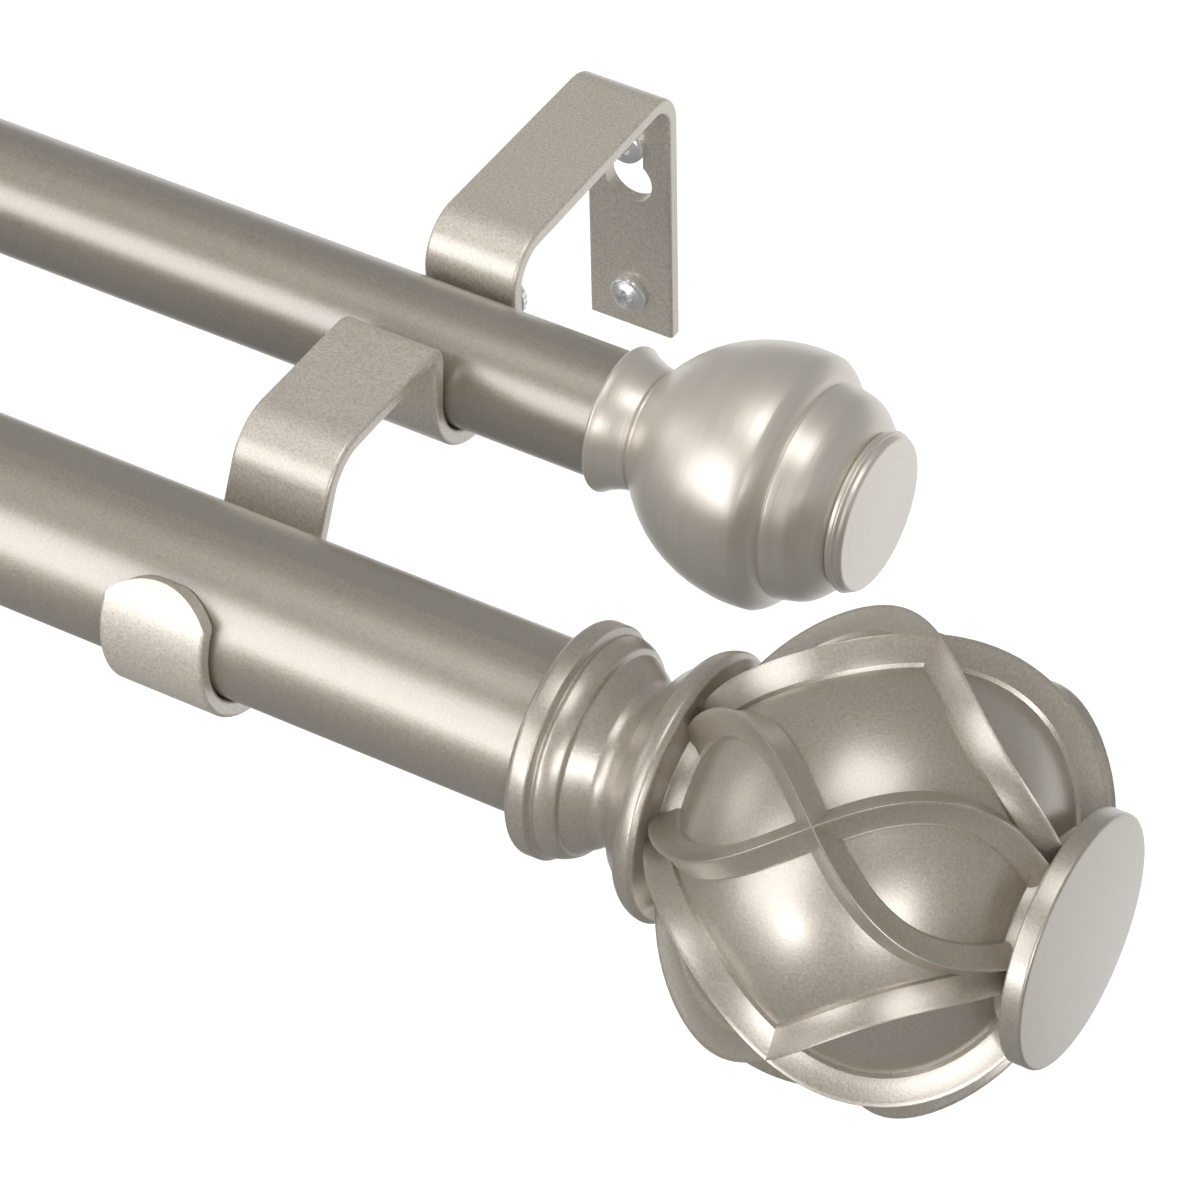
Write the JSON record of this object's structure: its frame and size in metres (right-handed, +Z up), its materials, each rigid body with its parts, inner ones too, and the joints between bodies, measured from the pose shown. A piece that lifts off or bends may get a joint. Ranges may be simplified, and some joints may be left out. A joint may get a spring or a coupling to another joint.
{
  "type": "double curtain pole",
  "caption": "Two telescoping curtain poles, one thicker and one thinner, side by side on folded strip brackets, with netted ball finials in front and turned knob finials behind.",
  "frame": {"origin": "on the wall plane at the back of the right bracket, half way along its width and half way between its two wall screws", "axes": "+X along the poles towards the end with the wider tubes, +Y into the wall, +Z up"},
  "size_m": [0.8692, 0.1586, 0.0673],
  "materials": {
    "pole": "satin nickel, fine brushed lacquer",
    "bracket": "satin nickel",
    "moulded_finial": "satin nickel lacquer on moulded resin",
    "turned_finial": "satin nickel on turned metal",
    "zinc_screw": "bright zinc",
    "plain_steel": "plain steel",
    "grey_plastic": "moulded grey plastic"
  },
  "bodies": {
    "brackets_and_outer_tubes": {"front_outer_tube": "pole", "front_end_bush": "grey_plastic", "front_plug_right": "grey_plastic", "front_stud_right": "plain_steel", "rear_outer_tube": "pole", "rear_end_bush": "grey_plastic", "rear_plug_right": "grey_plastic", "rear_stud_right": "plain_steel", "front_finial_right": "moulded_finial", "rear_finial_right": "turned_finial", "right_bracket": "bracket", "left_bracket": "bracket", "right_wall_screw_upper": "zinc_screw", "right_wall_screw_lower": "zinc_screw", "right_set_screw_front": "zinc_screw", "right_set_screw_rear": "zinc_screw", "left_wall_screw_upper": "zinc_screw", "left_wall_screw_lower": "zinc_screw", "left_set_screw_front": "zinc_screw", "left_set_screw_rear": "zinc_screw"},
    "front_slider": {"front_sliding_tube": "pole", "front_glide": "grey_plastic", "front_plug_left": "grey_plastic", "front_stud_left": "plain_steel", "front_finial_left": "moulded_finial"},
    "rear_slider": {"rear_sliding_tube": "pole", "rear_glide": "grey_plastic", "rear_plug_left": "grey_plastic", "rear_stud_left": "plain_steel", "rear_finial_left": "turned_finial"}
  },
  "joints": [
    {"name": "front_slide", "type": "slide", "parent": "brackets_and_outer_tubes", "child": "front_slider", "axis": [-1, 0, 0], "range_m": [0, 0.508]},
    {"name": "rear_slide", "type": "slide", "parent": "brackets_and_outer_tubes", "child": "rear_slider", "axis": [-1, 0, 0], "range_m": [0, 0.508]}
  ]
}
